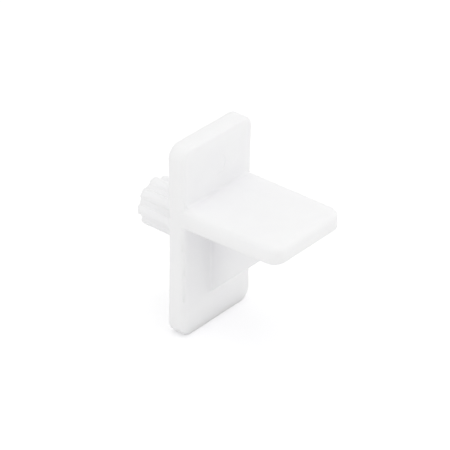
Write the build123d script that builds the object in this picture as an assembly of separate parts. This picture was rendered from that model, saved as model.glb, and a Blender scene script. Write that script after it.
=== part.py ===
"""Shelf support pin, moulded in one piece.

A flat plate lies against the cabinet side. A ribbed peg behind it presses into a drilled hole.
A tongue in front carries the shelf, held up from below by a web in the middle.
The origin is where the peg's axis meets the plate's back face.
X runs along the plate's width, +Y into the cabinet side along the peg, and +Z up.
"""
from build123d import *
import math
import os

# Plate
plate_height = 25.4
plate_end_width = 12.5
plate_waist_width = 12.1
plate_thickness = 2.25
plate_corner_radius = 1.65
plate_front_round = 0.42
plate_back_round = 0.12

# Tongue that the shelf lies on
tongue_top = 5.05
tongue_reach = 13.7
tongue_root_thickness = 2.55
tongue_tip_thickness = 2.2
tongue_corner_radius = 1.55
tongue_top_round = 0.7
tongue_lower_round = 0.2

# Web below the tongue
web_width = 2.4
web_drop = 10.95
web_reach = 11.25
web_edge_round = 0.15

# Round in the hollow corners above the tongue and round the web
inner_round = 0.4

# Peg with crush ribs for a drilled hole, turned by some degrees from level
hole_diameter = 6.35
peg_length = 7.6
peg_core_diameter = 5.3
rib_count = 8
rib_crest_radius = 0.65
rib_foot_round = 0.2
rib_turn = 3
peg_end_round = 0.3

# Round mark left by the pin that pushes the piece out of its mould
mark_radius = 1.3
mark_depth = 0.04
mark_above_tongue = 3.5

# What stands on the plate is rooted in it to half its thickness
root_depth = plate_thickness / 2
front = -plate_thickness
tip = front - tongue_reach
tongue_underside = tongue_top - tongue_root_thickness
tongue_taper = (tongue_root_thickness - tongue_tip_thickness) / tongue_reach
web_foot = tongue_underside - web_drop
web_tip = front - web_reach
# Distances below this count as none when an edge is looked up by its place
near = 0.001


def underside_at(y):
    """Height of the tongue's underside, which rises towards the tip."""
    return tongue_underside + (front - y) * tongue_taper


def front_outline():
    """The piece as seen from the front, a little narrower at the middle than at its ends."""
    half_height = plate_height / 2
    half_end = plate_end_width / 2
    half_waist = plate_waist_width / 2
    left = ThreePointArc((-half_end, half_height), (-half_waist, 0), (-half_end, -half_height))
    bottom = Line((-half_end, -half_height), (half_end, -half_height))
    right = ThreePointArc((half_end, -half_height), (half_waist, 0), (half_end, half_height))
    top = Line((half_end, half_height), (-half_end, half_height))
    return make_face([left, bottom, right, top])


def make_plate():
    """The plate, with round corners and a soft edge all round its front face."""
    outline = front_outline()
    outline = fillet(outline.vertices(), plate_corner_radius)
    plate = extrude(Plane.XZ * outline, plate_thickness)
    plate = fillet(plate.faces().sort_by(Axis.Y)[0].edges(), plate_front_round)
    return fillet(plate.faces().sort_by(Axis.Y)[-1].edges(), plate_back_round)


def free_edges(face):
    """A tongue face's edges, without the one that is buried in the plate."""
    return [edge for edge in face.edges() if edge.center().Y < -root_depth - near]


def make_tongue():
    """The tongue, flush with the plate's sides and thinner towards its tip."""
    side_profile = Polyline(
        (-root_depth, tongue_top),
        (tip, tongue_top),
        (tip, underside_at(tip)),
        (-root_depth, underside_at(-root_depth)),
        close=True,
    )
    slab = extrude(Plane.YZ * make_face(side_profile), plate_end_width, both=True)
    tongue = slab & extrude(Plane.XZ * front_outline(), -tip)
    tip_edges = tongue.edges().group_by(Axis.Y)[0].sort_by(Axis.X)
    tongue = fillet([tip_edges[0], tip_edges[-1]], tongue_corner_radius)
    tongue = fillet(free_edges(tongue.faces().sort_by(Axis.Z)[-1]), tongue_top_round)
    return fillet(free_edges(tongue.faces().sort_by(Axis.Z)[0]), tongue_lower_round)


def make_web():
    """The three-cornered web between the plate's front and the tongue's underside."""
    inside = tongue_tip_thickness / 2
    inside_reach = inside * web_reach / (underside_at(web_tip) - web_foot)
    profile = Polyline(
        (-root_depth, tongue_underside + inside),
        (-root_depth, web_foot),
        (front, web_foot),
        (web_tip - inside_reach, underside_at(web_tip) + inside),
        close=True,
    )
    return extrude(Plane.YZ * make_face(profile), web_width / 2, both=True)


def make_peg():
    """The peg, a round core with crush ribs whose crests fill the hole."""
    crest_circle = Circle(hole_diameter / 2)
    core_circle = Circle(peg_core_diameter / 2)
    section = core_circle
    for place in PolarLocations(hole_diameter / 2 - rib_crest_radius, rib_count, rib_turn):
        section += place * Circle(rib_crest_radius)
    section = fillet(section.vertices(), rib_foot_round)
    ribbed = extrude(Plane.XZ * section, -peg_length)
    rounded = extrude(Plane.XZ * crest_circle, -peg_length)
    rounded = fillet(rounded.edges().sort_by(Axis.Y)[-1], peg_end_round)
    root = extrude(Plane.XZ * core_circle, root_depth)
    return (ribbed & rounded) + root


def make_cove():
    """The hollow round where the tongue's top meets the plate, which fades out at its ends."""
    corner_y = front - inner_round
    round_top = tongue_top + inner_round
    buried = tongue_top - inner_round
    inside = Polyline(
        (front, round_top),
        (-root_depth, round_top),
        (-root_depth, buried),
        (corner_y, buried),
        (corner_y, tongue_top),
    )
    hollow = RadiusArc((corner_y, tongue_top), (front, round_top), -inner_round)
    half_flat = plate_waist_width / 2 - tongue_top_round
    profile = Plane.YZ * make_face([inside, hollow])
    cove = extrude(profile, half_flat, both=True)
    # Each end fades to a point halfway round the tongue's edge, just under the surface
    fade = math.sin(math.pi / 4) * tongue_top_round
    fade_y = front + plate_front_round / 4
    fade_z = tongue_top - tongue_top_round + fade
    for side in (-1, 1):
        end = Pos(side * half_flat, 0, 0) * profile
        point = Vertex(side * (half_flat + fade), fade_y, fade_z)
        cove += loft([end, point], ruled=True)
    return cove


def is_hollow(edge):
    """Whether an edge lies in a hollow corner round the web."""
    middle = edge.center()
    in_web = abs(middle.X) < web_width / 2 + near
    on_front = abs(middle.Y - front) < near and web_foot - near < middle.Z < tongue_underside
    on_underside = abs(middle.Z - underside_at(middle.Y)) < near and middle.Y < front
    return in_web and (on_front or on_underside)


def is_web_rim(edge):
    """Whether an edge is one of the two long ones along the web's slope."""
    middle = edge.center()
    rise = (underside_at(web_tip) - web_foot) * (middle.Y - front)
    run = (web_tip - front) * (middle.Z - web_foot)
    return abs(abs(middle.X) - web_width / 2) < near and abs(rise - run) < near


def make_mark():
    """The shallow disc that the ejector mark takes out of the plate's front."""
    centre = (0, front, tongue_top + mark_above_tongue)
    place = Plane(origin=centre, x_dir=(1, 0, 0), z_dir=(0, 1, 0))
    return extrude(place * Circle(mark_radius), mark_depth)


def make_pin():
    """Plate, tongue, web and peg as one moulding."""
    pin = make_plate() + make_tongue() + make_cove() + make_web() + make_peg()
    pin = fillet([edge for edge in pin.edges() if is_hollow(edge)], inner_round)
    pin = fillet([edge for edge in pin.edges() if is_web_rim(edge)], web_edge_round)
    return pin - make_mark()


os.makedirs("parts", exist_ok=True)
export_step(make_pin(), "parts/shelf_support_pin.step")
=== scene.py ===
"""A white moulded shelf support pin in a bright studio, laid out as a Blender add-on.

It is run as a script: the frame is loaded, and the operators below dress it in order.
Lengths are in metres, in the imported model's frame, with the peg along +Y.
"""

import math

import bpy
from mathutils import Matrix, Vector


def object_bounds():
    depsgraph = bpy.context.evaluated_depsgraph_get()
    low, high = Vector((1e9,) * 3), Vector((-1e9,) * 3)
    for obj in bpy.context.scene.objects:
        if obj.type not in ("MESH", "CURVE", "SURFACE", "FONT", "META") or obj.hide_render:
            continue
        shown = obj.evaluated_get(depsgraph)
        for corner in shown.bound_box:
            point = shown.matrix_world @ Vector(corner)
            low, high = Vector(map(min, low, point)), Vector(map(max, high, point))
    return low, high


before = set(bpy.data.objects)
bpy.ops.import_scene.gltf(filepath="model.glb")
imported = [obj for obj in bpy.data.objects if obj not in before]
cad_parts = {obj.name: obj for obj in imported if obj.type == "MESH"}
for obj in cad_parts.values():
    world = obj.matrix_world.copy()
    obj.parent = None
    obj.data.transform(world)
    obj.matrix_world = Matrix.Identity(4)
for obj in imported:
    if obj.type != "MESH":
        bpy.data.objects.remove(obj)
cad_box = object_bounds()

bl_info = {
    "name": "Shelf Support Pin",
    "version": (1, 0, 0),
    "blender": (4, 5, 0),
    "location": "3D View > Sidebar > Shelf Pin",
    "description": "Finishes the moulded shelf support pin and lights it in a bright studio",
    "category": "Object",
}

PIN = "shelf_support_pin"
MM = 0.001
WHITE = (1.0, 1.0, 1.0, 1.0)

# A noise lies about this value, and most of it between the two below
NOISE_MIDDLE = 0.5
NOISE_LOW = 0.38
NOISE_HIGH = 0.62

# The patches of uneven roughness are smaller than the flow's waves by this factor
PATCHES_PER_WAVE = 4

# The Mix node's colours by place, because its numbers and vectors have sockets of the same names
FIRST_COLOUR = 6
SECOND_COLOUR = 7
MIXED_COLOUR = 2

# Each soft light's turn about the pin and height over its level, in degrees
LIGHT_PLACES = {
    "overhead": (-20, 82),
    "left": (-110, 20),
    "right": (50, 30),
}

# The camera leaves out what is nearer than this
CAMERA_NEAR = 10 * MM


class Value:
    """A shader socket that takes part in Python sums."""

    def __init__(self, graph, socket):
        self.graph = graph
        self.socket = socket

    def _math(self, operation, first, second):
        return self.graph.node("ShaderNodeMath", {"operation": operation}, (first, second))

    def __add__(self, other):
        return self._math("ADD", self, other)

    __radd__ = __add__

    def __sub__(self, other):
        return self._math("SUBTRACT", self, other)

    def __rsub__(self, other):
        return self._math("SUBTRACT", other, self)

    def __mul__(self, other):
        return self._math("MULTIPLY", self, other)

    __rmul__ = __mul__

    def at_most(self, limit):
        """The value, or the limit where the value is higher."""
        return self._math("MINIMUM", self, limit)

    def smooth(self, low, high):
        """0 below low, 1 above high, with a soft step between."""
        settings = {"interpolation_type": "SMOOTHSTEP"}
        return self.graph.node("ShaderNodeMapRange", settings, (self, low, high, 0.0, 1.0))


class Graph:
    """The node tree of one material or world, with one way to add a node."""

    def __init__(self, owner):
        owner.use_nodes = True
        self.tree = owner.node_tree
        self.tree.nodes.clear()

    def node(self, kind, settings=None, inputs=(), output=0):
        """Adds a node, sets it up first, then fills its sockets by order or by name."""
        made = self.tree.nodes.new(kind)
        for name, setting in (settings or {}).items():
            setattr(made, name, setting)
        pairs = inputs.items() if isinstance(inputs, dict) else enumerate(inputs)
        for key, value in pairs:
            if isinstance(value, Value):
                self.tree.links.new(value.socket, made.inputs[key])
            elif value is not None:
                made.inputs[key].default_value = value
        return Value(self, made.outputs[output]) if made.outputs else None

    def seen(self):
        """1 where the camera looks straight on, or by way of a reflection or through glass."""
        straight = self.node("ShaderNodeLightPath", output="Is Camera Ray")
        mirrored = self.node("ShaderNodeLightPath", output="Is Glossy Ray")
        through = self.node("ShaderNodeLightPath", output="Is Transmission Ray")
        return (straight + mirrored + through).at_most(1.0)

    def noise(self, place, size, detail):
        """Cloudy values whose lumps are about as large as the given size."""
        sockets = {"Vector": place, "Scale": 1 / size, "Detail": detail}
        return self.node("ShaderNodeTexNoise", {}, sockets, output="Fac")

    def bump(self, height, distance, below=None):
        """A normal that makes the given values look like that much relief."""
        sockets = {"Strength": 1.0, "Distance": distance, "Height": height, "Normal": below}
        return self.node("ShaderNodeBump", {}, sockets)

    def mix_colour(self, factor, first, second):
        """A colour between two colours."""
        sockets = {"Factor": factor, FIRST_COLOUR: first, SECOND_COLOUR: second}
        return self.node("ShaderNodeMix", {"data_type": "RGBA"}, sockets, output=MIXED_COLOUR)


class PinFinish(bpy.types.PropertyGroup):
    """The look of the moulded plastic."""

    plastic: bpy.props.FloatVectorProperty(
        name="Plastic", description="Colour of the plastic", subtype="COLOR", size=3,
        default=(0.926, 0.924, 0.95), min=0.0, max=1.0)
    tone_drift: bpy.props.FloatProperty(
        name="Tone drift", description="How much darker the plastic is in the hollows of its waves",
        default=0.012, min=0.0, max=0.1, subtype="FACTOR")
    roughness: bpy.props.FloatProperty(
        name="Roughness", description="Mean roughness of the satin moulded surface",
        default=0.42, min=0.0, max=1.0, subtype="FACTOR")
    patch_roughness: bpy.props.FloatProperty(
        name="Patch roughness", description="How far the roughness changes from patch to patch",
        default=0.10, min=0.0, max=0.5, subtype="FACTOR")
    grain_roughness: bpy.props.FloatProperty(
        name="Grain roughness", description="How far the roughness changes with the grain",
        default=0.08, min=0.0, max=0.5, subtype="FACTOR")
    flow_size: bpy.props.FloatProperty(
        name="Flow", description="Size of the slow waves that the cooling plastic leaves",
        default=3.5 * MM, unit="LENGTH")
    flow_height: bpy.props.FloatProperty(
        name="Flow height", description="Height of those waves",
        default=0.015 * MM, unit="LENGTH")
    grain_size: bpy.props.FloatProperty(
        name="Grain", description="Size of the texture that the spark-eroded mould leaves",
        default=0.14 * MM, unit="LENGTH")
    grain_height: bpy.props.FloatProperty(
        name="Grain height", description="Height of that texture",
        default=0.005 * MM, unit="LENGTH")
    refraction: bpy.props.FloatProperty(
        name="Refraction", description="Refractive index of the plastic", default=1.49, min=1.0)
    depth: bpy.props.FloatProperty(
        name="Light depth", description="How far light spreads below the milky surface",
        default=2.0 * MM, unit="LENGTH")


class PinStudio(bpy.types.PropertyGroup):
    """The camera, the floor and the lights."""

    azimuth: bpy.props.FloatProperty(
        name="Azimuth", description="Camera's turn about the pin, below zero to the left",
        default=math.radians(-50.39), subtype="ANGLE")
    elevation: bpy.props.FloatProperty(
        name="Elevation", description="Camera's height over the level of the pin",
        default=math.radians(31.44), subtype="ANGLE")
    roll: bpy.props.FloatProperty(
        name="Roll", description="Camera's turn about its line of sight",
        default=math.radians(0.59), subtype="ANGLE")
    distance: bpy.props.FloatProperty(
        name="Distance", description="From the camera to the point it looks at",
        default=307.5 * MM, unit="LENGTH")
    aim: bpy.props.FloatVectorProperty(
        name="Aim", description="Point that the camera and the lights look at",
        subtype="XYZ", unit="LENGTH", default=(-0.129 * MM, -3.477 * MM, 0.8615 * MM))
    lens: bpy.props.FloatProperty(
        name="Lens", description="Focal length in millimetres on a 36 mm sensor",
        default=211.14, unit="CAMERA")
    floor_size: bpy.props.FloatProperty(
        name="Floor", description="Side of the pale floor", default=3.0, unit="LENGTH")
    paper: bpy.props.FloatVectorProperty(
        name="Paper", description="Colour of the floor's paper", subtype="COLOR", size=3,
        default=(0.90, 0.90, 0.90), min=0.0, max=1.0)
    paper_lift: bpy.props.FloatProperty(
        name="Paper lift", description="White added to the paper where it is seen", default=0.25)
    sky: bpy.props.FloatProperty(
        name="Sky", description="Strength of the even light all round", default=0.75)
    light_size: bpy.props.FloatProperty(
        name="Light size", description="Side of each soft light", default=0.45, unit="LENGTH")
    light_distance: bpy.props.FloatProperty(
        name="Light distance", description="From each soft light to the pin", default=0.6,
        unit="LENGTH")
    overhead: bpy.props.FloatProperty(
        name="Overhead light", description="Its power", default=0.5, unit="POWER")
    left: bpy.props.FloatProperty(
        name="Left light", description="Its power", default=0.27, unit="POWER")
    right: bpy.props.FloatProperty(
        name="Right light", description="Its power", default=0.43, unit="POWER")


def satin_plastic(finish):
    """Milky white plastic with a satin skin, a fine mould grain and slow waves from cooling."""
    material = bpy.data.materials.new("satin_white_plastic")
    graph = Graph(material)
    place = graph.node("ShaderNodeTexCoord", output="Object")
    flow = graph.noise(place, finish.flow_size, detail=3.0)
    patches = graph.noise(place, finish.flow_size / PATCHES_PER_WAVE, detail=4.0)
    grain = graph.noise(place, finish.grain_size, detail=2.0)
    plastic = (*finish.plastic, 1.0)
    darker = (*(channel * (1 - finish.tone_drift) for channel in finish.plastic), 1.0)
    colour = graph.mix_colour(flow.smooth(NOISE_LOW, NOISE_HIGH), darker, plastic)
    by_patch = finish.patch_roughness * (patches - NOISE_MIDDLE)
    by_grain = finish.grain_roughness * (grain - NOISE_MIDDLE)
    waves = graph.bump(flow, finish.flow_height)
    skin = graph.bump(grain, finish.grain_height, waves)
    shader = graph.node("ShaderNodeBsdfPrincipled", {"subsurface_method": "RANDOM_WALK"}, {
        "Base Color": colour,
        "Roughness": finish.roughness + by_patch + by_grain,
        "Normal": skin,
        "IOR": finish.refraction,
        "Subsurface Weight": 1.0,
        "Subsurface Scale": finish.depth,
        "Subsurface Radius": (1.0, 1.0, 1.0),
    })
    graph.node("ShaderNodeOutputMaterial", {}, {"Surface": shader})
    return material


class PIN_OT_moulding(bpy.types.Operator):
    """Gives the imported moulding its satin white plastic"""

    bl_idname = "pin.moulding"
    bl_label = "Finish the moulding"

    def execute(self, context):
        plastic = satin_plastic(context.scene.pin_finish)
        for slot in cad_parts[PIN].material_slots:
            slot.material = plastic
        return {"FINISHED"}


def way_to(azimuth, elevation):
    """The way from the pin to what stands at that azimuth and elevation."""
    level = math.cos(elevation)
    return Vector((math.sin(azimuth) * level, -math.cos(azimuth) * level, math.sin(elevation)))


def add_light(studio, name):
    """The square soft light of that name, which looks at the pin from its place."""
    data = bpy.data.lights.new(name + "_light", "AREA")
    data.shape = "SQUARE"
    data.size = studio.light_size
    data.energy = getattr(studio, name)
    light = bpy.data.objects.new(name + "_light", data)
    bpy.context.scene.collection.objects.link(light)
    azimuth, elevation = LIGHT_PLACES[name]
    way = way_to(math.radians(azimuth), math.radians(elevation))
    light.location = Vector(studio.aim) + way * studio.light_distance
    light.rotation_euler = way.to_track_quat("Z", "Y").to_euler()


def add_camera(studio):
    """The camera at the picture's angle, with its own slight roll."""
    data = bpy.data.cameras.new("camera")
    data.lens = studio.lens
    data.clip_start = CAMERA_NEAR
    camera = bpy.data.objects.new("camera", data)
    bpy.context.scene.collection.objects.link(camera)
    back = way_to(studio.azimuth, studio.elevation)
    right = Vector((math.cos(studio.azimuth), math.sin(studio.azimuth), 0.0))
    up = back.cross(right)
    axes = Matrix((right, up, back)).transposed()
    look = axes @ Matrix.Rotation(studio.roll, 3, "Z")
    place = Vector(studio.aim) + back * studio.distance
    camera.matrix_world = Matrix.Translation(place) @ look.to_4x4()
    bpy.context.scene.camera = camera


def white_paper(studio):
    """White paper that burns out to white for the camera and keeps the pin's soft shadow."""
    material = bpy.data.materials.new("white_paper")
    graph = Graph(material)
    paper = graph.node("ShaderNodeBsdfDiffuse", {}, {"Color": (*studio.paper, 1.0)})
    lift = graph.node("ShaderNodeEmission", {}, {"Color": WHITE, "Strength": studio.paper_lift})
    burnt = graph.node("ShaderNodeAddShader", {}, (paper, lift))
    surface = graph.node("ShaderNodeMixShader", {}, (graph.seen(), paper, burnt))
    graph.node("ShaderNodeOutputMaterial", {}, {"Surface": surface})
    return material


def add_floor(studio):
    """The pale floor, level with the foot of the pin's plate."""
    foot = cad_box[0][2]
    bpy.ops.object.select_all(action="DESELECT")
    bpy.ops.mesh.primitive_plane_add(size=studio.floor_size, location=(0.0, 0.0, foot))
    floor = bpy.context.object
    floor.name = "floor"
    floor.data.materials.append(white_paper(studio))


def add_sky(studio):
    """Even white light all round, and plain white where it is seen."""
    world = bpy.data.worlds.new("studio")
    bpy.context.scene.world = world
    graph = Graph(world)
    strength = studio.sky + (1 - studio.sky) * graph.seen()
    sky = graph.node("ShaderNodeBackground", {}, {"Color": WHITE, "Strength": strength})
    graph.node("ShaderNodeOutputWorld", {}, {"Surface": sky})


class PIN_OT_studio(bpy.types.Operator):
    """Adds the floor, the soft lights and the camera"""

    bl_idname = "pin.studio"
    bl_label = "Set up the studio"

    def execute(self, context):
        studio = context.scene.pin_studio
        add_floor(studio)
        add_sky(studio)
        for name in LIGHT_PLACES:
            add_light(studio, name)
        add_camera(studio)
        context.scene.view_settings.view_transform = "Standard"
        return {"FINISHED"}


OPERATORS = (PIN_OT_moulding, PIN_OT_studio)


class PIN_PT_panel(bpy.types.Panel):
    """Lists the pin's settings and operators"""

    bl_label = "Shelf Support Pin"
    bl_idname = "PIN_PT_panel"
    bl_space_type = "VIEW_3D"
    bl_region_type = "UI"
    bl_category = "Shelf Pin"

    def draw(self, context):
        layout = self.layout
        for group in (context.scene.pin_finish, context.scene.pin_studio):
            box = layout.box()
            for name in group.__annotations__:
                box.prop(group, name)
        for operator in OPERATORS:
            layout.operator(operator.bl_idname)


CLASSES = (PinFinish, PinStudio, *OPERATORS, PIN_PT_panel)


def register():
    """Makes the settings, the operators and the panel known to Blender."""
    for cls in CLASSES:
        bpy.utils.register_class(cls)
    bpy.types.Scene.pin_finish = bpy.props.PointerProperty(type=PinFinish)
    bpy.types.Scene.pin_studio = bpy.props.PointerProperty(type=PinStudio)


def unregister():
    """Takes them away again."""
    del bpy.types.Scene.pin_finish
    del bpy.types.Scene.pin_studio
    for cls in reversed(CLASSES):
        bpy.utils.unregister_class(cls)


def main():
    """Registers the add-on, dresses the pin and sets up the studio."""
    register()
    bpy.ops.pin.moulding()
    bpy.ops.pin.studio()


if __name__ == "__main__":
    main()
